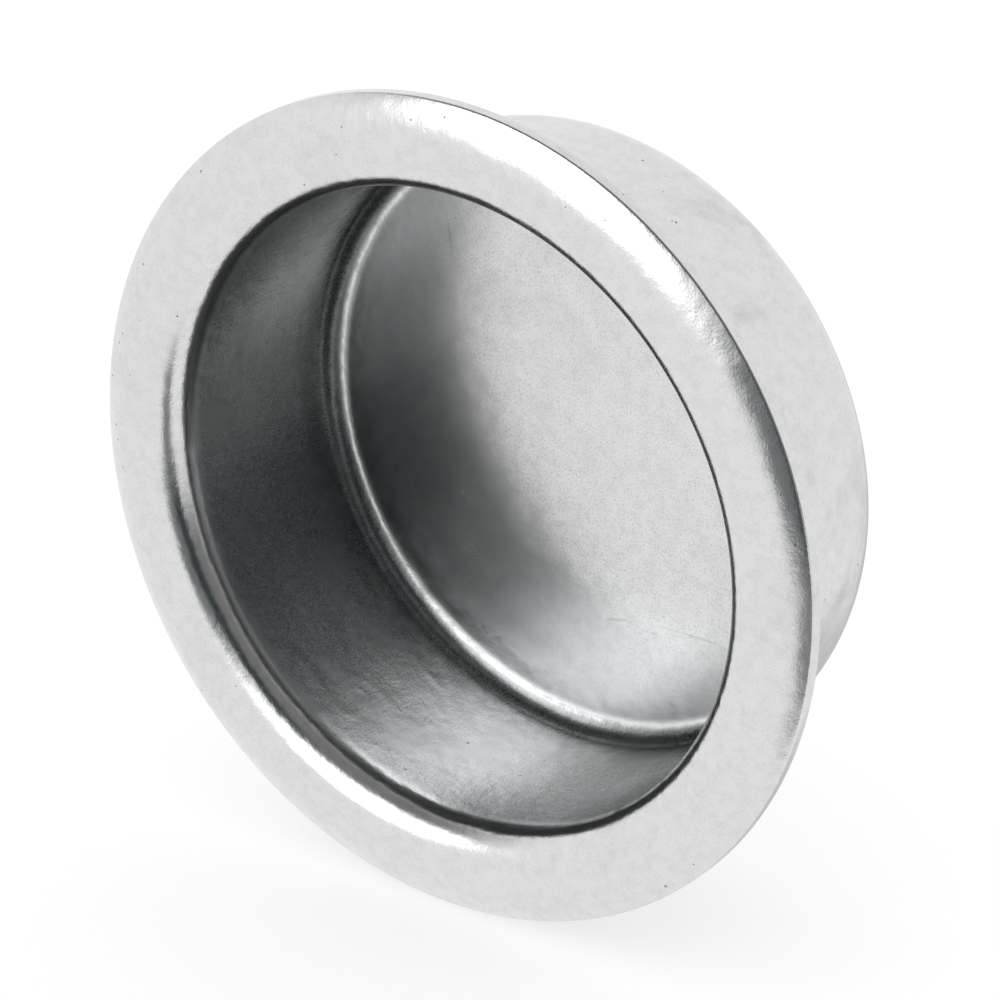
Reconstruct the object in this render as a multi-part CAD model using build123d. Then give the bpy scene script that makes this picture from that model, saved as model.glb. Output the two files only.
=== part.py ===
from build123d import *
import math
import os

# A round flush pull, drawn in one piece from sheet metal: a straight-walled cup with a flat closed
# floor, a soft roll at its mouth, and a domed flange whose edge turns back to the door's face.
# It is set as it is fitted in an upright door: the cup goes into the door along +Y, the flange's
# face looks along -Y, and +Z is up. The origin is the middle of the ring that rests on the door.

# sheet
sheet_thickness = 0.6

# cup
cup_diameter = 43.0  # over the outside of the wall, for a bored hole of 44.45 (1 3/4 in)
cup_depth = 15.3  # from the door's face to the outside of the floor
floor_corner_radius = 1.5  # inside the cup
mouth_roll_radius = 2.4  # on the polished side, from the wall round to the flange

# flange
flange_overhang = 5.5  # beyond the outside of the cup's wall, which makes the flange 54 across
crown_land = 0.3  # flat ring between the mouth roll and the dome
dome_rise = 0.85  # fall of the dome from its crown to the turned edge
edge_return = 0.45  # height of the turned edge under the dome
edge_break = 0.2  # rounding of the flange's outer edge

cup_inside_radius = cup_diameter / 2 - sheet_thickness
flange_radius = cup_diameter / 2 + flange_overhang
crown_height = edge_return + sheet_thickness + dome_rise
roll_centre_radius = cup_inside_radius + mouth_roll_radius
roll_centre_height = crown_height - mouth_roll_radius
dome_centre_radius = roll_centre_radius + crown_land
floor_height = sheet_thickness - cup_depth

# the dome's arc passes over the crown level and meets the turned edge's inner wall
dome_reach = flange_radius - sheet_thickness - dome_centre_radius
dome_back_radius = (dome_rise**2 + dome_reach**2) / (2 * dome_rise)
dome_face_radius = dome_back_radius + sheet_thickness
dome_centre_height = crown_height - dome_face_radius


def on_arc(centre_radius, centre_height, arc_radius, angle):
    """Point of an arc of the section; the angle is measured from outward towards the face."""
    turn = math.radians(angle)
    return (
        centre_radius + arc_radius * math.cos(turn),
        centre_height + arc_radius * math.sin(turn),
    )


def sheet_side(below):
    """One side of the sheet, from the flange's edge to the cup's axis, at a depth below the face side."""
    edge_radius = flange_radius - below
    dome_radius = dome_face_radius - below
    roll_radius = mouth_roll_radius - below
    corner_radius = floor_corner_radius + below
    wall_radius = cup_inside_radius + below
    dome_end_angle = math.degrees(math.acos((edge_radius - dome_centre_radius) / dome_radius))
    corner_centre_radius = cup_inside_radius - floor_corner_radius
    corner_centre_height = floor_height + floor_corner_radius

    edge_foot = (edge_radius, 0)
    dome_end = on_arc(dome_centre_radius, dome_centre_height, dome_radius, dome_end_angle)
    dome_middle = on_arc(dome_centre_radius, dome_centre_height, dome_radius, (dome_end_angle + 90) / 2)
    dome_crown = (dome_centre_radius, crown_height - below)
    roll_crown = (roll_centre_radius, crown_height - below)
    roll_middle = on_arc(roll_centre_radius, roll_centre_height, roll_radius, 135)
    wall_top = (wall_radius, roll_centre_height)
    wall_foot = (wall_radius, corner_centre_height)
    corner_middle = on_arc(corner_centre_radius, corner_centre_height, corner_radius, -45)
    floor_edge = (corner_centre_radius, floor_height - below)
    floor_middle = (0, floor_height - below)
    return [
        Line(edge_foot, dome_end),
        ThreePointArc(dome_end, dome_middle, dome_crown),
        Line(dome_crown, roll_crown),
        ThreePointArc(roll_crown, roll_middle, wall_top),
        Line(wall_top, wall_foot),
        ThreePointArc(wall_foot, corner_middle, floor_edge),
        Line(floor_edge, floor_middle),
    ]


def drawn_cup():
    """The whole pull: the sheet's section, its outer edge rounded, turned about the cup's axis."""
    face_side = sheet_side(0)
    back_side = sheet_side(sheet_thickness)
    edge_end = Line(face_side[0] @ 0, back_side[0] @ 0)
    floor_end = Line(face_side[-1] @ 1, back_side[-1] @ 1)
    section = make_face(face_side + back_side + [edge_end, floor_end])
    outer_corner = section.vertices().filter_by(
        lambda corner: corner.X > flange_radius - edge_break and corner.Y > 0
    )
    return revolve(fillet(outer_corner, edge_break), Axis.Y, 360)


# the section is drawn with the face upwards along its own Y, so it is turned over for the door
pull_cup = Rot(0, 0, 180) * drawn_cup()

os.makedirs("parts", exist_ok=True)
export_step(pull_cup, "parts/pull_cup.step")
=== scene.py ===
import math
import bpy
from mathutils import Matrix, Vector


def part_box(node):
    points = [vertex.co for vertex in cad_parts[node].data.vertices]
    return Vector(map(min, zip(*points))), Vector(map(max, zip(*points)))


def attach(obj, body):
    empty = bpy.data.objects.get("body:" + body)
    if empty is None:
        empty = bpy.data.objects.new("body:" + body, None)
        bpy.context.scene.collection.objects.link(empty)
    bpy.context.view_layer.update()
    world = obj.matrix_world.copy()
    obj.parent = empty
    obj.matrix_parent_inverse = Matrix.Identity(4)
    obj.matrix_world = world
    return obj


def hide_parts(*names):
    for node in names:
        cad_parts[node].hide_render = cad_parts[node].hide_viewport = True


bl_info = {
    "name": "Round flush pull",
    "version": (1, 0, 0),
    "blender": (4, 5, 0),
    "location": "3D View > Sidebar > Flush Pull",
    "description": "A round recessed cup pull drawn from one sheet of metal, in a plain studio",
    "category": "Object",
}

import bmesh
import bpy
from bpy.props import FloatProperty, FloatVectorProperty, IntProperty, PointerProperty
from bpy.types import Operator, Panel, PropertyGroup
from mathutils import Matrix, Vector

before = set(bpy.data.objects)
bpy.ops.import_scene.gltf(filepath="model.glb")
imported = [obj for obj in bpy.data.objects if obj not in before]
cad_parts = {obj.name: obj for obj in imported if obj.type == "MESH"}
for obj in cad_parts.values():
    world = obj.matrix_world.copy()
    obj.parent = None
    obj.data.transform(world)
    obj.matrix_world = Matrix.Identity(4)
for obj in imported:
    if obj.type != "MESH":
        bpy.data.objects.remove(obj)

MM = 0.001
CAD_NODE = "pull_cup"
RUN_LAYER = "sheet_run"
VECTOR = "NodeSocketVector"
FLOAT = "NodeSocketFloat"
BUCKLE_TURN = math.radians(38)
MOTTLE_TONE = (0.42, 0.42, 0.42)
SAND_TONE = (0.36, 0.36, 0.36)
SMUDGE_TONE = (0.34, 0.34, 0.335)
SCRATCH_TONE = (0.30, 0.30, 0.30)
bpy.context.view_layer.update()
cup_low, cup_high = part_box(CAD_NODE)


# Sizes and colours that a user would change

class PullCupSizes(PropertyGroup):
    flange_diameter: FloatProperty(
        name="Flange diameter", description="Across the whole flange",
        default=cup_high[0] - cup_low[0], unit="LENGTH", precision=5,
    )
    cup_depth: FloatProperty(
        name="Cup depth", description="From the door's face to the outside of the floor",
        default=cup_high[1], unit="LENGTH", precision=5,
    )
    crown_height: FloatProperty(
        name="Crown height", description="How far the flange's crown stands out of the door's face",
        default=-cup_low[1], unit="LENGTH", precision=5,
    )
    sheet_thickness: FloatProperty(
        name="Sheet thickness",
        description="Thickness of the drawn sheet",
        default=0.6 * MM, unit="LENGTH", precision=5,
    )
    cup_diameter: FloatProperty(
        name="Cup diameter", description="Over the outside of the straight wall",
        default=43.0 * MM, unit="LENGTH", precision=5,
    )
    floor_corner_radius: FloatProperty(
        name="Floor corner radius", description="Radius between wall and floor, inside the cup",
        default=1.5 * MM, unit="LENGTH", precision=5,
    )
    mouth_roll_radius: FloatProperty(
        name="Mouth roll radius",
        description="Radius from the wall round to the flange, on the polished side",
        default=2.4 * MM, unit="LENGTH", precision=5,
    )
    crown_land: FloatProperty(
        name="Crown land", description="Flat ring between the mouth roll and the dome",
        default=0.3 * MM, unit="LENGTH", precision=5,
    )
    edge_return: FloatProperty(
        name="Edge return", description="Height of the turned edge under the dome",
        default=0.45 * MM, unit="LENGTH", precision=5,
    )
    edge_break: FloatProperty(
        name="Edge break",
        description="Rounding of the flange's outer edge",
        default=0.2 * MM, unit="LENGTH", precision=5,
    )
    guard_width: FloatProperty(
        name="Guard ring width",
        description="Width of the narrow ring that keeps a straight run's shading flat",
        default=0.25 * MM, unit="LENGTH", precision=5,
    )
    bend_steps: IntProperty(
        name="Bend steps",
        description="Steps in each quarter turn of the polished side",
        default=28, min=4, max=64,
    )
    turn_steps: IntProperty(
        name="Turn steps",
        description="Steps round the cup's axis, a multiple of four",
        default=384, min=64, max=512,
    )


class SatinMetalLook(PropertyGroup):
    metal_color: FloatVectorProperty(
        name="Polished metal",
        description="Colour of the buffed flange, mouth roll and floor",
        subtype="COLOR",
        size=3, min=0, max=1, default=(0.700, 0.702, 0.704),
    )
    # Painted shade: this darker wall colour is partly the drawn wall's duller finish and partly painted
    # shade for the dark inside of the cup.
    drawn_wall_and_shade_color: FloatVectorProperty(
        name="Drawn wall",
        description="Colour of the drawn wall that the buffing wheel doesn't reach",
        subtype="COLOR",
        size=3, min=0, max=1, default=(0.325, 0.336, 0.341),
    )
    # Painted shade: colour of the bands that darken the inner wall toward the floor corner, standing for the
    # shade in the cup's inner corner.
    corner_shade_color: FloatVectorProperty(
        name="Draw band",
        description="Colour of the band above the floor corner, where the drawing die dragged",
        subtype="COLOR", size=3, min=0, max=1, default=(0.150, 0.158, 0.161),
    )
    pit_color: FloatVectorProperty(
        name="Pits", description="Colour at the bottom of the small pits", subtype="COLOR",
        size=3, min=0, max=1, default=(0.16, 0.16, 0.16),
    )
    polished_roughness: FloatProperty(
        name="Polished roughness",
        description="Roughness of the buffed metal",
        default=0.17, min=0, max=1,
    )
    floor_roughness: FloatProperty(
        name="Floor roughness",
        description="Roughness of the cup's floor, which the wheel reaches less",
        default=0.22,
        min=0, max=1,
    )
    drawn_roughness: FloatProperty(
        name="Drawn roughness", description="Roughness of the drawn wall", default=0.27, min=0, max=1,
    )


class StudioLook(PropertyGroup):
    camera_azimuth: FloatProperty(
        name="Camera azimuth",
        description="Turn of the camera about the upright, to the right of the cup's axis",
        default=math.radians(36.426), subtype="ANGLE",
    )
    camera_elevation: FloatProperty(
        name="Camera elevation",
        description="Height angle of the camera",
        default=math.radians(24.514), subtype="ANGLE",
    )
    camera_distance: FloatProperty(
        name="Camera distance",
        description="From the camera to the middle of its view",
        default=307.54 * MM,
        unit="LENGTH",
    )
    camera_lens: FloatProperty(
        name="Camera lens",
        description="Focal length in millimetres on a 36 mm sensor",
        default=179.92, subtype="NONE",
    )
    view_right: FloatProperty(
        name="View centre right",
        description="The view's middle, to the right of the cup's",
        default=2.941 * MM,
        unit="LENGTH",
    )
    view_up: FloatProperty(
        name="View centre up",
        description="The view's middle, above the cup's",
        default=0.744 * MM, unit="LENGTH",
    )
    floor_size: FloatProperty(
        name="Floor size", description="Side of the square floor", default=6.0, unit="LENGTH",
    )
    floor_color: FloatVectorProperty(
        name="Floor",
        description="Colour of the plain pale floor",
        subtype="COLOR", size=3, min=0, max=1,
        default=(0.5, 0.5, 0.5),
    )
    floor_glow: FloatProperty(
        name="Floor glow",
        description="Part of the floor's white that no shadow takes away",
        default=0.56, min=0, max=1,
    )
    tent_color: FloatVectorProperty(
        name="Light tent",
        description="Colour of the white tent round the pull",
        subtype="COLOR", size=3, min=0, max=2,
        default=(1.04, 1.04, 1.04),
    )
    tent_radius: FloatProperty(
        name="Tent radius", description="Radius of the light tent", default=1.5, unit="LENGTH",
    )
    dark_color: FloatVectorProperty(
        name="Tent opening",
        description="Colour of the dark room seen through the tent's opening",
        subtype="COLOR",
        size=3, min=0, max=1, default=(0.038, 0.050, 0.054),
    )
    side_level: FloatProperty(
        name="Side level", description="Brightness of the tent's shaded side, where its white is one",
        default=0.22, min=0, max=1,
    )
    low_level: FloatProperty(
        name="Low opening level",
        description="Brightness of the opening's lower end, where the tent's white is one",
        default=0.24, min=0, max=1,
    )
    softbox_level: FloatProperty(
        name="Softbox level", description="Brightness of the soft panel, where the tent's white is one",
        default=4.0, min=0, max=8,
    )


# Small helpers for node trees

def add_node(tree, kind, **settings):
    node = tree.nodes.new(kind)
    for name, value in settings.items():
        setattr(node, name, value)
    return node


def feed(tree, source, target):
    """Links a socket, or sets a plain value, on a target socket."""
    if isinstance(source, bpy.types.NodeSocket):
        tree.links.new(source, target)
    else:
        target.default_value = source


def scalar(tree, operation, first, second=None, third=None, clamp=False):
    node = add_node(tree, "ShaderNodeMath", operation=operation, use_clamp=clamp)
    for index, value in enumerate((first, second, third)):
        if value is not None:
            feed(tree, value, node.inputs[index])
    return node.outputs[0]


def vector_step(tree, operation, first, second=None, third=None):
    node = add_node(tree, "ShaderNodeVectorMath", operation=operation)
    for index, value in enumerate((first, second, third)):
        if value is not None:
            feed(tree, value, node.inputs[index])
    return node.outputs["Value"] if operation in {"LENGTH", "DOT_PRODUCT"} else node.outputs["Vector"]


def ramp(tree, value, from_low, from_high, to_low=0.0, to_high=1.0):
    """A smooth step of a value between two levels."""
    node = add_node(tree, "ShaderNodeMapRange", interpolation_type="SMOOTHSTEP")
    feed(tree, value, node.inputs["Value"])
    feed(tree, from_low, node.inputs["From Min"])
    feed(tree, from_high, node.inputs["From Max"])
    feed(tree, to_low, node.inputs["To Min"])
    feed(tree, to_high, node.inputs["To Max"])
    return node.outputs["Result"]


def blend_colors(tree, factor, first, second):
    node = add_node(tree, "ShaderNodeMix", data_type="RGBA")
    feed(tree, factor, node.inputs[0])
    feed(tree, first, node.inputs[6])
    feed(tree, second, node.inputs[7])
    return node.outputs[2]


def blend_values(tree, factor, first, second):
    node = add_node(tree, "ShaderNodeMix", data_type="FLOAT")
    feed(tree, factor, node.inputs[0])
    feed(tree, first, node.inputs[2])
    feed(tree, second, node.inputs[3])
    return node.outputs[0]


def tint(tree, body, mask, strength, tone):
    """Lays a tone over a colour where a mask lies, at a strength."""
    return blend_colors(tree, scalar(tree, "MULTIPLY", mask, strength), body, (*tone, 1.0))


def noise(tree, vector, scale, detail=2.0, roughness=0.5, distortion=0.0):
    node = add_node(tree, "ShaderNodeTexNoise")
    feed(tree, vector, node.inputs["Vector"])
    feed(tree, scale, node.inputs["Scale"])
    node.inputs["Detail"].default_value = detail
    node.inputs["Roughness"].default_value = roughness
    node.inputs["Distortion"].default_value = distortion
    return node.outputs["Fac"]


def new_group(name, inputs, outputs):
    """A shader node group with named sockets; each input is a name, a socket type and a default."""
    group = bpy.data.node_groups.new(name, "ShaderNodeTree")
    for socket_name, socket_type, default in inputs:
        socket = group.interface.new_socket(name=socket_name, in_out="INPUT", socket_type=socket_type)
        if default is not None:
            socket.default_value = default
    for socket_name, socket_type in outputs:
        group.interface.new_socket(name=socket_name, in_out="OUTPUT", socket_type=socket_type)
    return group, add_node(group, "NodeGroupInput").outputs, add_node(group, "NodeGroupOutput").inputs


def use_group(tree, group, **values):
    node = add_node(tree, "ShaderNodeGroup")
    node.node_tree = group
    for name, value in values.items():
        feed(tree, value, node.inputs[name.replace("_", " ")])
    return node.outputs


# Effects that make up the metal's surface

def make_sheet_wrap():
    """Coordinates that follow the sheet: round the cup, and along its section, which may be shortened."""
    group, given, result = new_group(
        "Sheet Wrap",
        [("Position", VECTOR, None), ("Run", FLOAT, 0.0), ("Wrap Radius", FLOAT, 0.024),
         ("Run Stretch", FLOAT, 1.0)],
        [("Vector", VECTOR)],
    )
    flat = vector_step(group, "MULTIPLY", given["Position"], (1.0, 0.0, 1.0))
    heading = vector_step(group, "NORMALIZE", flat)
    round_the_cup = add_node(group, "ShaderNodeVectorMath", operation="SCALE")
    feed(group, heading, round_the_cup.inputs[0])
    feed(group, given["Wrap Radius"], round_the_cup.inputs["Scale"])
    along = add_node(group, "ShaderNodeCombineXYZ")
    feed(group, scalar(group, "MULTIPLY", given["Run"], given["Run Stretch"]), along.inputs["Y"])
    feed(group, vector_step(group, "ADD", round_the_cup.outputs[0], along.outputs[0]), result["Vector"])
    return group


def make_run_band():
    """A soft-edged band of the section, with a slightly uneven border."""
    group, given, result = new_group(
        "Run Band",
        [("Run", FLOAT, 0.0), ("Start", FLOAT, 0.0), ("End", FLOAT, 0.01),
         ("Start Softness", FLOAT, 0.001), ("End Softness", FLOAT, 0.001),
         ("Unevenness", FLOAT, 0.0), ("Uneven Value", FLOAT, 0.5)],
        [("Mask", FLOAT)],
    )
    uneven_step = scalar(group, "SUBTRACT", given["Uneven Value"], 0.5)
    wander = scalar(group, "MULTIPLY", uneven_step, given["Unevenness"])
    run = scalar(group, "ADD", given["Run"], wander)
    start_low = scalar(group, "SUBTRACT", given["Start"], given["Start Softness"])
    start_high = scalar(group, "ADD", given["Start"], given["Start Softness"])
    end_low = scalar(group, "SUBTRACT", given["End"], given["End Softness"])
    end_high = scalar(group, "ADD", given["End"], given["End Softness"])
    rising = ramp(group, run, start_low, start_high)
    falling = ramp(group, run, end_low, end_high, 1.0, 0.0)
    feed(group, scalar(group, "MULTIPLY", rising, falling), result["Mask"])
    return group


def make_orange_peel():
    """The slow ripple that buffing leaves in a soft metal, as a height in metres and a plain value."""
    group, given, result = new_group(
        "Orange Peel",
        [("Vector", VECTOR, None), ("Scale", FLOAT, 1250.0), ("Depth", FLOAT, 2.2e-5)],
        [("Height", FLOAT), ("Value", FLOAT)],
    )
    value = noise(group, given["Vector"], given["Scale"], detail=3.0, roughness=0.45, distortion=0.3)
    feed(group, scalar(group, "MULTIPLY", value, given["Depth"]), result["Height"])
    feed(group, value, result["Value"])
    return group


def make_fine_grain():
    """The fine grain of the polish, as a height in metres and a plain value."""
    group, given, result = new_group(
        "Fine Grain",
        [("Vector", VECTOR, None), ("Scale", FLOAT, 7000.0), ("Depth", FLOAT, 8e-6)],
        [("Height", FLOAT), ("Value", FLOAT)],
    )
    value = noise(group, given["Vector"], given["Scale"], detail=2.0, roughness=0.6)
    feed(group, scalar(group, "MULTIPLY", value, given["Depth"]), result["Height"])
    feed(group, value, result["Value"])
    return group


def make_pits():
    """Sparse small pits in uneven clusters: a mask and a depth in metres."""
    group, given, result = new_group(
        "Pits",
        [("Vector", VECTOR, None), ("Scale", FLOAT, 900.0), ("Size", FLOAT, 0.095),
         ("Amount", FLOAT, 0.9), ("Cluster Scale", FLOAT, 90.0), ("Depth", FLOAT, 4e-6)],
        [("Mask", FLOAT), ("Height", FLOAT)],
    )
    cells = add_node(group, "ShaderNodeTexVoronoi", voronoi_dimensions="3D", feature="F1")
    feed(group, given["Vector"], cells.inputs["Vector"])
    feed(group, given["Scale"], cells.inputs["Scale"])
    parts = add_node(group, "ShaderNodeSeparateColor")
    feed(group, cells.outputs["Color"], parts.inputs[0])
    clusters = noise(group, given["Vector"], given["Cluster Scale"], detail=1.0)
    chance = scalar(group, "MULTIPLY", ramp(group, clusters, 0.42, 0.62), given["Amount"])
    present = scalar(group, "LESS_THAN", parts.outputs[0], chance)
    width = scalar(group, "MULTIPLY", given["Size"], scalar(group, "ADD", parts.outputs[1], 0.35))
    inside = ramp(group, cells.outputs["Distance"], scalar(group, "MULTIPLY", width, 0.4), width, 1.0, 0.0)
    mask = scalar(group, "MULTIPLY", inside, present)
    feed(group, mask, result["Mask"])
    sunk = scalar(group, "MULTIPLY", given["Depth"], -1.0)
    feed(group, scalar(group, "MULTIPLY", mask, sunk), result["Height"])
    return group


def make_floor_buckles():
    """The faint long buckles of a pressed floor, as a height in metres."""
    group, given, result = new_group(
        "Floor Buckles",
        [("Vector", VECTOR, None), ("Scale", FLOAT, 120.0), ("Stretch", FLOAT, 2.4),
         ("Depth", FLOAT, 2.2e-5)],
        [("Height", FLOAT)],
    )
    turn = add_node(group, "ShaderNodeVectorRotate", rotation_type="Y_AXIS")
    feed(group, given["Vector"], turn.inputs["Vector"])
    turn.inputs["Angle"].default_value = BUCKLE_TURN
    spread = add_node(group, "ShaderNodeCombineXYZ")
    spread.inputs["X"].default_value = 1.0
    spread.inputs["Y"].default_value = 1.0
    feed(group, given["Stretch"], spread.inputs["Z"])
    stretched = vector_step(group, "MULTIPLY", turn.outputs[0], spread.outputs[0])
    value = noise(group, stretched, given["Scale"], detail=1.0, roughness=0.45, distortion=1.2)
    feed(group, scalar(group, "MULTIPLY", value, given["Depth"]), result["Height"])
    return group


def make_slow_waves():
    """The slow waves of a pressed and buffed flange, as a height in metres."""
    group, given, result = new_group(
        "Slow Waves",
        [("Vector", VECTOR, None), ("Scale", FLOAT, 330.0), ("Depth", FLOAT, 6e-5)],
        [("Height", FLOAT)],
    )
    value = noise(group, given["Vector"], given["Scale"], detail=1.0, roughness=0.4, distortion=0.5)
    feed(group, scalar(group, "MULTIPLY", value, given["Depth"]), result["Height"])
    return group


def make_hairlines():
    """Broken hairline scratches as a mask: thin level lines of a slow noise."""
    group, given, result = new_group(
        "Hairlines",
        [("Vector", VECTOR, None), ("Scale", FLOAT, 36.0), ("Width", FLOAT, 0.0022)],
        [("Mask", FLOAT)],
    )
    value = noise(group, given["Vector"], given["Scale"], detail=0.0, roughness=0.3, distortion=0.4)
    apart = scalar(group, "ABSOLUTE", scalar(group, "SUBTRACT", value, 0.5))
    line = ramp(group, apart, scalar(group, "MULTIPLY", given["Width"], 0.3), given["Width"], 1.0, 0.0)
    gaps = ramp(group, noise(group, given["Vector"], 210.0, detail=2.0), 0.48, 0.62)
    feed(group, scalar(group, "MULTIPLY", line, gaps), result["Mask"])
    return group


def make_smudges():
    """Large soft handling smudges as a mask."""
    group, given, result = new_group(
        "Handling Smudges",
        [("Vector", VECTOR, None), ("Scale", FLOAT, 110.0), ("Low", FLOAT, 0.48),
         ("High", FLOAT, 0.72)],
        [("Mask", FLOAT)],
    )
    value = noise(group, given["Vector"], given["Scale"], detail=6.0, roughness=0.62, distortion=0.8)
    feed(group, ramp(group, value, given["Low"], given["High"]), result["Mask"])
    return group


def make_section_bands(tree, run, lengths, uneven_value):
    """Masks along the section: the drawn wall, whose colour is partly painted shade, two bands of painted
    shade above the floor corner, the floor and the back.
    """
    band = make_run_band()
    band_start = lengths["corner_start"] + 0.7 * MM

    def band_above_corner(end, end_softness):
        return use_group(
            tree, band, Run=run, Start=band_start, End=end, Start_Softness=0.25 * MM,
            End_Softness=end_softness, Unevenness=0.3 * MM, Uneven_Value=uneven_value,
        )["Mask"]

    floor_only = use_group(
        tree, band, Run=run, Start=-0.05 * MM, End=lengths["corner_start"] - 1.6 * MM,
        Start_Softness=0.03 * MM, End_Softness=1.4 * MM,
    )["Mask"]
    return {
        "drawn": band_above_corner(end=lengths["wall_end"] - 0.1 * MM, end_softness=0.7 * MM),
        # These two bands are painted shade: they darken the wall more and more toward the floor corner.
        "wall_shade_band": band_above_corner(end=lengths["wall_start"] + 5.0 * MM, end_softness=2.5 * MM),
        "corner_shade_band": band_above_corner(end=lengths["wall_start"] + 1.9 * MM, end_softness=1.0 * MM),
        "floor": floor_only,
        "back": ramp(tree, run, -0.06 * MM, -0.02 * MM, 1.0, 0.0),
    }


def color_of_metal(tree, look, marks, bands):
    """Base colour: bright metal, the darker wall, which is partly painted shade, its two bands of painted
    shade toward the floor corner, and what has dulled them since.
    """
    grain_value = marks["grain"]["Value"]
    # Painted shade: the drawn wall's darker colour stands partly for the shade inside the cup's hollow.
    body = blend_colors(tree, bands["drawn"], (*look.metal_color, 1.0), (*look.drawn_wall_and_shade_color, 1.0))
    # Painted shade: darker toward the floor corner, softly over the lower wall and strongly just above the
    # corner.
    body = tint(tree, body, bands["wall_shade_band"], strength=0.35, tone=look.corner_shade_color)
    body = tint(tree, body, bands["corner_shade_band"], strength=0.75, tone=look.corner_shade_color)
    mottle = scalar(tree, "SUBTRACT", scalar(tree, "ADD", grain_value, marks["peel"]["Value"]), 1.0)
    mottle = scalar(tree, "MULTIPLY_ADD", mottle, 0.6, 0.08, clamp=True)
    body = tint(tree, body, mottle, strength=1.0, tone=MOTTLE_TONE)
    sand = scalar(tree, "MULTIPLY", ramp(tree, grain_value, 0.5, 0.8), bands["floor"])
    body = tint(tree, body, sand, strength=0.5, tone=SAND_TONE)
    smudge_strength = scalar(tree, "MULTIPLY_ADD", bands["back"], 0.36, 0.10)
    body = tint(tree, body, marks["smudges"]["Mask"], strength=smudge_strength, tone=SMUDGE_TONE)
    scratches = scalar(tree, "MULTIPLY", marks["hairlines"]["Mask"], bands["floor"])
    body = tint(tree, body, scratches, strength=0.30, tone=SCRATCH_TONE)
    return tint(tree, body, marks["pits"]["Mask"], strength=0.85, tone=look.pit_color)


def roughness_of_metal(tree, look, marks, bands):
    """Roughness: buffed metal, the duller floor and wall, and rougher smudges, grain and pits."""
    buffed = blend_values(tree, bands["floor"], look.polished_roughness, look.floor_roughness)
    finish = blend_values(tree, bands["drawn"], buffed, look.drawn_roughness)
    smudged = scalar(tree, "MULTIPLY_ADD", marks["smudges"]["Mask"], 0.05, finish)
    grain_step = scalar(tree, "SUBTRACT", marks["grain"]["Value"], 0.5)
    grained = scalar(tree, "MULTIPLY_ADD", grain_step, 0.12, smudged)
    return scalar(tree, "MULTIPLY_ADD", marks["pits"]["Mask"], 0.3, grained, clamp=True)


def height_of_metal(tree, marks, bands):
    """Height in metres: waves and grain, both shallower on the floor, draw marks, buckles and pits."""
    grain_share = scalar(tree, "MULTIPLY_ADD", bands["floor"], -0.7, 1.0)
    wave_share = scalar(tree, "MULTIPLY_ADD", bands["floor"], -0.85, 1.0)
    wave_share = scalar(tree, "MULTIPLY_ADD", bands["back"], -0.7, wave_share)
    mark_share = scalar(tree, "MAXIMUM", bands["drawn"], scalar(tree, "MULTIPLY", bands["back"], 0.45))
    slow = scalar(tree, "ADD", marks["peel"]["Height"], marks["waves"]["Height"])
    height = scalar(tree, "MULTIPLY", slow, wave_share)
    for mark, share in (("grain", grain_share), ("draw_marks", mark_share), ("buckles", bands["floor"])):
        height = scalar(tree, "ADD", height, scalar(tree, "MULTIPLY", marks[mark]["Height"], share))
    return scalar(tree, "ADD", height, marks["pits"]["Height"])


def make_satin_metal(look, lengths):
    """The pull's finish: buffed flange, roll and floor, a darker drawn wall with painted shade in its colour
    and toward the floor corner, pits, grain and smudges.
    """
    material = bpy.data.materials.new("satin_drawn_metal")
    material.use_nodes = True
    tree = material.node_tree
    shader = tree.nodes["Principled BSDF"]
    position = add_node(tree, "ShaderNodeTexCoord").outputs["Object"]
    run_reader = add_node(tree, "ShaderNodeAttribute", attribute_type="GEOMETRY", attribute_name=RUN_LAYER)
    run = run_reader.outputs["Fac"]

    grain_group = make_fine_grain()
    drawn_lines = use_group(tree, make_sheet_wrap(), Position=position, Run=run, Run_Stretch=0.16)["Vector"]
    marks = {
        "peel": use_group(tree, make_orange_peel(), Vector=position),
        "waves": use_group(tree, make_slow_waves(), Vector=position),
        "grain": use_group(tree, grain_group, Vector=position),
        "draw_marks": use_group(tree, grain_group, Vector=drawn_lines, Scale=3800.0),
        "pits": use_group(tree, make_pits(), Vector=position),
        "smudges": use_group(tree, make_smudges(), Vector=position),
        "hairlines": use_group(tree, make_hairlines(), Vector=position),
        "buckles": use_group(tree, make_floor_buckles(), Vector=position),
    }
    bands = make_section_bands(tree, run, lengths, marks["peel"]["Value"])

    bump = add_node(tree, "ShaderNodeBump")
    bump.inputs["Strength"].default_value = 1.0
    bump.inputs["Distance"].default_value = 1.0
    feed(tree, height_of_metal(tree, marks, bands), bump.inputs["Height"])
    feed(tree, bump.outputs["Normal"], shader.inputs["Normal"])
    feed(tree, color_of_metal(tree, look, marks, bands), shader.inputs["Base Color"])
    feed(tree, roughness_of_metal(tree, look, marks, bands), shader.inputs["Roughness"])
    shader.inputs["Metallic"].default_value = 1.0
    return material


# The drawn cup

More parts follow.
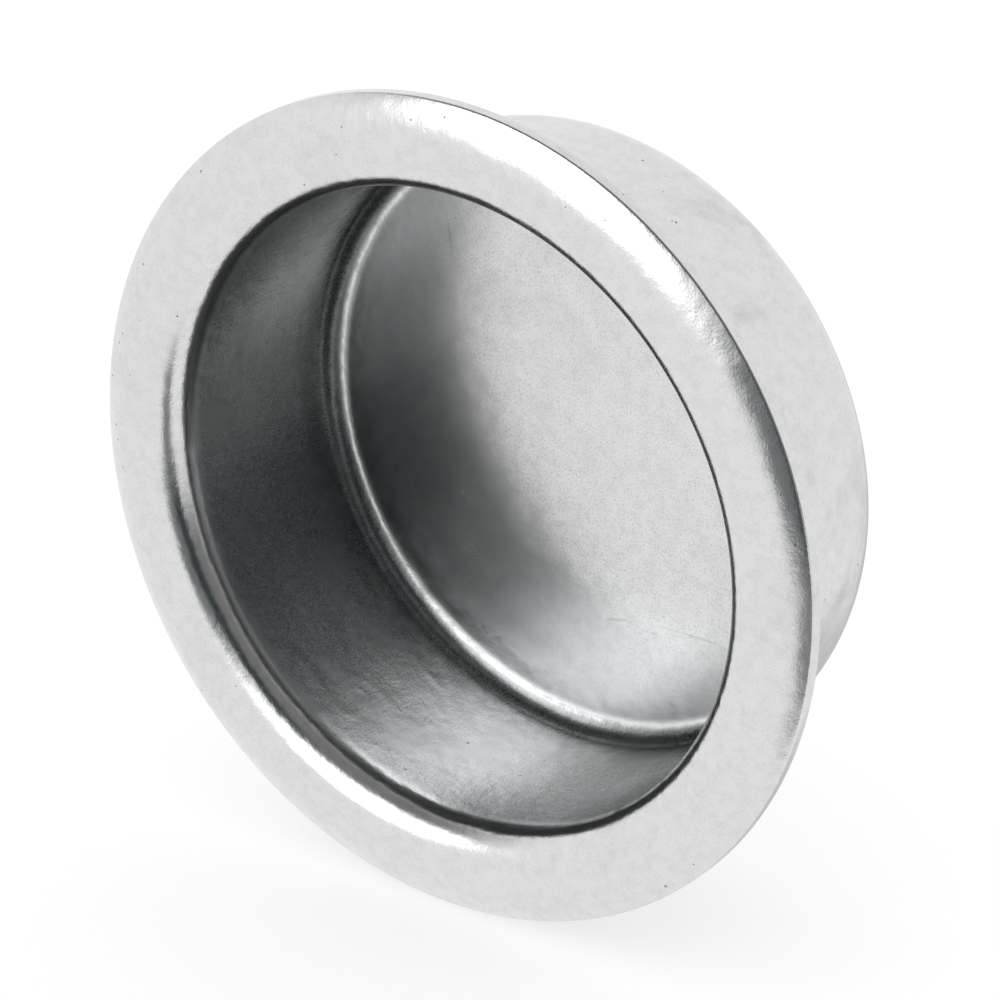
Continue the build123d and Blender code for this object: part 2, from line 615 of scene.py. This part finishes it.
class SheetSection:
    """Half of the pull's section, drawn as one line with its length kept on each point."""

    def __init__(self, mesh, start, side, guard):
        self.mesh = mesh
        self.layer = mesh.verts.layers.float.new(RUN_LAYER)
        self.guard = guard
        self.side = side
        self.run = 0.0
        self.tip = mesh.verts.new((start[0], start[1], 0.0))
        self.tip[self.layer] = 0.0

    def straight(self, x, y, guarded=True):
        """A straight run to a point, with a narrow ring at each end so that it shades flat."""
        begin = self.tip.co.copy()
        end = Vector((x, y, 0.0))
        length = (end - begin).length
        stops = [1.0]
        if guarded and length > 4 * self.guard:
            stops = [self.guard / length, 1.0 - self.guard / length, 1.0]
        for stop in stops:
            made = bmesh.ops.extrude_vert_indiv(self.mesh, verts=[self.tip])
            self.tip = made["verts"][0]
            target = begin.lerp(end, stop)
            bmesh.ops.translate(self.mesh, verts=[self.tip], vec=target - self.tip.co)
            self.tip[self.layer] = self.side * (self.run + stop * length)
        self.run += length

    def bend(self, centre_x, centre_y, angle, steps):
        """An arc from the tip about a centre, by an angle about +Z."""
        radius = math.hypot(self.tip.co.x - centre_x, self.tip.co.y - centre_y)
        known = set(self.mesh.verts)
        made = bmesh.ops.spin(
            self.mesh, geom=[self.tip], cent=(centre_x, centre_y, 0.0), axis=(0.0, 0.0, 1.0),
            dvec=(0.0, 0.0, 0.0), angle=angle, steps=steps, use_merge=False, use_duplicate=False,
        )
        length = abs(angle) * radius
        start = self.tip.co.copy()
        for point in [vert for vert in self.mesh.verts if vert not in known]:
            chord = min(1.0, (point.co - start).length / (2 * radius))
            point[self.layer] = self.side * (self.run + 2 * radius * math.asin(chord))
        self.run += length
        self.tip = next(item for item in made["geom_last"] if isinstance(item, bmesh.types.BMVert))


def draw_section(mesh, sizes):
    """The closed line of the sheet, from the floor's middle out to the flange's foot and back behind."""
    sheet = sizes.sheet_thickness
    inside_radius = sizes.cup_diameter / 2 - sheet
    flange_radius = sizes.flange_diameter / 2
    crown_y = -sizes.crown_height
    floor_y = sizes.cup_depth - sheet
    corner_x = inside_radius - sizes.floor_corner_radius
    corner_y = floor_y - sizes.floor_corner_radius
    roll_x = inside_radius + sizes.mouth_roll_radius
    roll_y = crown_y + sizes.mouth_roll_radius
    dome_x = roll_x + sizes.crown_land
    dome_rise = sizes.crown_height - sheet - sizes.edge_return
    dome_reach = flange_radius - sheet - dome_x
    dome_back = (dome_rise ** 2 + dome_reach ** 2) / (2 * dome_rise)
    dome_face = dome_back + sheet
    dome_y = crown_y + dome_face
    quarter = math.pi / 2
    steps = sizes.bend_steps

    break_x = flange_radius - sizes.edge_break
    break_angle = math.acos((break_x - dome_x) / (dome_face - sizes.edge_break))
    break_y = dome_y - math.sin(break_angle) * (dome_face - sizes.edge_break)
    back_angle = math.acos((flange_radius - sheet - dome_x) / dome_back)
    back_y = dome_y - math.sin(back_angle) * dome_back

    face = SheetSection(mesh, (0.0, floor_y), 1.0, sizes.guard_width)
    face.straight(corner_x, floor_y)
    lengths = {"corner_start": face.run}
    face.bend(corner_x, corner_y, -quarter, steps)
    lengths["wall_start"] = face.run
    face.straight(inside_radius, roll_y)
    lengths["wall_end"] = face.run
    face.bend(roll_x, roll_y, quarter, steps)
    face.straight(dome_x, crown_y, guarded=False)
    face.bend(dome_x, dome_y, quarter - break_angle, steps // 2)
    face.bend(break_x, break_y, break_angle, max(3, steps // 4))
    face.straight(flange_radius, 0.0, guarded=False)

    face.side = -1.0
    back_steps = max(4, steps // 2)
    face.straight(flange_radius - sheet, 0.0, guarded=False)
    face.straight(flange_radius - sheet, back_y, guarded=False)
    face.bend(dome_x, dome_y, -(quarter - back_angle), max(3, back_steps // 2))
    face.straight(roll_x, crown_y + sheet, guarded=False)
    face.bend(roll_x, roll_y, -quarter, back_steps)
    face.straight(inside_radius + sheet, corner_y)
    face.bend(corner_x, corner_y, quarter, back_steps)
    face.straight(0.0, sizes.cup_depth)
    return lengths


def shape_drawn_cup(sizes):
    """The whole pull as one closed mesh: its section spun round the cup's axis."""
    shape = bmesh.new()
    lengths = draw_section(shape, sizes)
    bmesh.ops.spin(
        shape, geom=shape.verts[:] + shape.edges[:], cent=(0.0, 0.0, 0.0), axis=(0.0, 1.0, 0.0),
        dvec=(0.0, 0.0, 0.0), angle=2 * math.pi, steps=sizes.turn_steps, use_merge=True, use_duplicate=False,
    )
    bmesh.ops.remove_doubles(shape, verts=shape.verts, dist=1e-6)
    bmesh.ops.recalc_face_normals(shape, faces=shape.faces)
    if shape.calc_volume(signed=True) < 0:
        bmesh.ops.reverse_faces(shape, faces=shape.faces)
    for face in shape.faces:
        face.smooth = True
    for edge in shape.edges:
        if not edge.is_manifold:
            raise RuntimeError("the drawn cup isn't closed")
        edge.smooth = edge.calc_face_angle() < math.radians(30)
    mesh = bpy.data.meshes.new("drawn_cup")
    shape.to_mesh(mesh)
    shape.free()
    return mesh, lengths


class FLUSHPULL_OT_drawn_cup(Operator):
    """Builds the drawn cup with its flange and gives it the satin metal"""

    bl_idname = "flush_pull.drawn_cup"
    bl_label = "Drawn cup"

    def execute(self, context):
        mesh, lengths = shape_drawn_cup(context.scene.pull_cup_sizes)
        cup = bpy.data.objects.new("drawn_cup", mesh)
        context.scene.collection.objects.link(cup)
        mesh.materials.append(make_satin_metal(context.scene.satin_metal_look, lengths))
        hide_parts(CAD_NODE)
        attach(cup, "root")
        return {"FINISHED"}


# The studio

def soft_panel(tree, heading, centre, half_width, half_height, softness, turn=0.0):
    """A soft-edged oval of directions round one heading, as a mask."""
    towards = Vector(centre).normalized()
    side = towards.cross(Vector((0.0, 0.0, 1.0))).normalized()
    top = side.cross(towards).normalized()
    across = side * math.cos(turn) + top * math.sin(turn)
    upward = top * math.cos(turn) - side * math.sin(turn)
    ahead = scalar(tree, "MAXIMUM", vector_step(tree, "DOT_PRODUCT", heading, tuple(towards)), 0.001)
    sideways = scalar(tree, "DIVIDE", vector_step(tree, "DOT_PRODUCT", heading, tuple(across)), ahead)
    height = scalar(tree, "DIVIDE", vector_step(tree, "DOT_PRODUCT", heading, tuple(upward)), ahead)
    wide = scalar(tree, "DIVIDE", sideways, half_width)
    tall = scalar(tree, "DIVIDE", height, half_height)
    squares = scalar(tree, "ADD", scalar(tree, "MULTIPLY", wide, wide), scalar(tree, "MULTIPLY", tall, tall))
    return ramp(tree, scalar(tree, "SQRT", squares), 1.0 - softness, 1.0 + softness, 1.0, 0.0)


def angle_window(tree, angle, rise_from, rise_to, fall_from, fall_to):
    """A soft window of an angle in radians, its four edges given in degrees."""
    rising = ramp(tree, angle, math.radians(rise_from), math.radians(rise_to))
    falling = ramp(tree, angle, math.radians(fall_from), math.radians(fall_to), 1.0, 0.0)
    return scalar(tree, "MULTIPLY", rising, falling)


def off_axis_heading(off_axis, round_axis):
    """A direction out of the cup's mouth: degrees off its axis, and degrees round it from the right."""
    away = math.radians(off_axis)
    about = math.radians(round_axis)
    return (math.sin(away) * math.cos(about), -math.cos(away), math.sin(away) * math.sin(about))


def grey(level):
    return (level, level, level, 1.0)


def make_tent_material(studio):
    """The inside of the light tent: white, with a soft panel, a grey side and the opening for the camera."""
    material = bpy.data.materials.new("light_tent")
    material.use_nodes = True
    tree = material.node_tree
    tree.nodes.clear()
    position = add_node(tree, "ShaderNodeTexCoord").outputs["Object"]
    heading = vector_step(tree, "NORMALIZE", position)
    axes = add_node(tree, "ShaderNodeSeparateXYZ")
    feed(tree, heading, axes.inputs[0])
    off_axis = scalar(tree, "ARCCOSINE", scalar(tree, "MULTIPLY", axes.outputs["Y"], -1.0))
    round_axis = scalar(tree, "ARCTAN2", axes.outputs["Z"], axes.outputs["X"])
    lens_strength = 0.85
    behind_level = 0.66

    side_off = angle_window(tree, off_axis, 37, 57, 107, 137)
    side = scalar(tree, "MULTIPLY", side_off, angle_window(tree, round_axis, -20, 10, 118, 158))
    low_off = angle_window(tree, off_axis, 32, 41, 53, 62)
    low_opening = scalar(tree, "MULTIPLY", low_off, angle_window(tree, round_axis, -72, -46, -38, -8))
    high_off = angle_window(tree, off_axis, 34, 42, 56, 64)
    high_opening = scalar(tree, "MULTIPLY", high_off, angle_window(tree, round_axis, -38, -8, 64, 100))
    lens_side = soft_panel(tree, heading, off_axis_heading(33, 4), 0.38, 0.38, 0.45)
    lens_side = scalar(tree, "MULTIPLY", lens_side, lens_strength)
    softbox = soft_panel(tree, heading, off_axis_heading(35, 118), 0.31, 0.41, 0.5, math.radians(-58))
    behind = soft_panel(tree, heading, off_axis_heading(137, -112), 0.50, 0.55, 0.5)
    color = (*studio.tent_color, 1.0)
    color = blend_colors(tree, behind, color, grey(behind_level))
    color = blend_colors(tree, side, color, grey(studio.side_level))
    color = blend_colors(tree, low_opening, color, grey(studio.low_level))
    color = blend_colors(tree, high_opening, color, (*studio.dark_color, 1.0))
    color = blend_colors(tree, lens_side, color, (*studio.dark_color, 1.0))
    color = blend_colors(tree, softbox, color, grey(studio.softbox_level))
    glow = add_node(tree, "ShaderNodeEmission")
    feed(tree, color, glow.inputs["Color"])
    output = add_node(tree, "ShaderNodeOutputMaterial")
    feed(tree, glow.outputs[0], output.inputs["Surface"])
    material.cycles.emission_sampling = "NONE"
    return material


def make_tent(studio):
    """The light tent round everything, which only the metal's reflections see."""
    shape = bmesh.new()
    bmesh.ops.create_uvsphere(shape, u_segments=48, v_segments=24, radius=studio.tent_radius)
    mesh = bpy.data.meshes.new("light_tent")
    shape.to_mesh(mesh)
    shape.free()
    mesh.materials.append(make_tent_material(studio))
    tent = bpy.data.objects.new("light_tent", mesh)
    tent.visible_camera = False
    tent.visible_diffuse = False
    tent.visible_shadow = False
    tent.visible_transmission = False
    return tent


def make_world():
    """Plain white light from all round."""
    world = bpy.data.worlds.new("white_studio")
    world.use_nodes = True
    background = world.node_tree.nodes["Background"]
    background.inputs["Color"].default_value = (1.0, 1.0, 1.0, 1.0)
    background.inputs["Strength"].default_value = 1.0
    return world


def make_floor_material(studio):
    """A pale floor that shows as the white background, and keeps the pull's soft shadow."""
    material = bpy.data.materials.new("pale_floor")
    material.use_nodes = True
    tree = material.node_tree
    shader = tree.nodes["Principled BSDF"]
    shader.inputs["Base Color"].default_value = (*studio.floor_color, 1.0)
    shader.inputs["Roughness"].default_value = 1.0
    shader.inputs["Specular IOR Level"].default_value = 0.0
    shader.inputs["Emission Color"].default_value = (1.0, 1.0, 1.0, 1.0)
    paths = add_node(tree, "ShaderNodeLightPath")
    seen = scalar(tree, "MAXIMUM", paths.outputs["Is Camera Ray"], paths.outputs["Is Glossy Ray"])
    seen = scalar(tree, "MAXIMUM", seen, paths.outputs["Is Transmission Ray"])
    feed(tree, scalar(tree, "MULTIPLY", seen, studio.floor_glow), shader.inputs["Emission Strength"])
    material.cycles.emission_sampling = "NONE"
    return material


def make_floor(studio, height):
    shape = bmesh.new()
    bmesh.ops.create_grid(shape, x_segments=8, y_segments=8, size=studio.floor_size / 2)
    bmesh.ops.translate(shape, verts=shape.verts, vec=(0.0, 0.0, height))
    mesh = bpy.data.meshes.new("studio_floor")
    shape.to_mesh(mesh)
    shape.free()
    mesh.materials.append(make_floor_material(studio))
    return bpy.data.objects.new("studio_floor", mesh)


def make_camera(studio):
    azimuth = studio.camera_azimuth
    elevation = studio.camera_elevation
    right = Vector((math.cos(azimuth), math.sin(azimuth), 0.0))
    back = Vector((
        math.sin(azimuth) * math.cos(elevation),
        -math.cos(azimuth) * math.cos(elevation),
        math.sin(elevation),
    ))
    up = back.cross(right)
    middle = right * studio.view_right + up * studio.view_up
    lens = bpy.data.cameras.new("studio_camera")
    lens.sensor_fit = "HORIZONTAL"
    lens.sensor_width = 36.0
    lens.lens = studio.camera_lens
    lens.clip_start = 0.01
    camera = bpy.data.objects.new("studio_camera", lens)
    stand = Matrix((right, up, back)).transposed().to_4x4()
    stand.translation = middle + back * studio.camera_distance
    camera.matrix_world = stand
    return camera


class FLUSHPULL_OT_studio(Operator):
    """Sets up the pale floor, the light tent and the camera"""

    bl_idname = "flush_pull.studio"
    bl_label = "Studio"

    def execute(self, context):
        scene = context.scene
        studio = scene.flush_pull_studio
        camera = make_camera(studio)
        scene.collection.objects.link(camera)
        scene.camera = camera
        floor = make_floor(studio, cup_low[2])
        floor.visible_glossy = False
        tent = make_tent(studio)
        for item in (floor, tent):
            scene.collection.objects.link(item)
        scene.world = make_world()
        scene.view_settings.view_transform = "Standard"
        return {"FINISHED"}


class FLUSHPULL_PT_sidebar(Panel):
    """Lists the pull's pieces, their sizes and their colours"""

    bl_idname = "FLUSHPULL_PT_sidebar"
    bl_label = "Flush pull"
    bl_space_type = "VIEW_3D"
    bl_region_type = "UI"
    bl_category = "Flush Pull"

    def draw(self, context):
        layout = self.layout
        groups = (
            (FLUSHPULL_OT_drawn_cup, context.scene.pull_cup_sizes),
            (None, context.scene.satin_metal_look),
            (FLUSHPULL_OT_studio, context.scene.flush_pull_studio),
        )
        for operator, settings in groups:
            box = layout.box()
            for name in settings.__annotations__:
                box.prop(settings, name)
            if operator:
                box.operator(operator.bl_idname)


SETTINGS = (
    ("pull_cup_sizes", PullCupSizes),
    ("satin_metal_look", SatinMetalLook),
    ("flush_pull_studio", StudioLook),
)
CLASSES = (FLUSHPULL_OT_drawn_cup, FLUSHPULL_OT_studio, FLUSHPULL_PT_sidebar)


def register():
    for name, group in SETTINGS:
        bpy.utils.register_class(group)
        setattr(bpy.types.Scene, name, PointerProperty(type=group))
    for item in CLASSES:
        bpy.utils.register_class(item)


def unregister():
    for item in reversed(CLASSES):
        bpy.utils.unregister_class(item)
    for name, group in reversed(SETTINGS):
        delattr(bpy.types.Scene, name)
        bpy.utils.unregister_class(group)


def main():
    register()
    bpy.ops.flush_pull.drawn_cup()
    bpy.ops.flush_pull.studio()


if __name__ == "__main__":
    main()
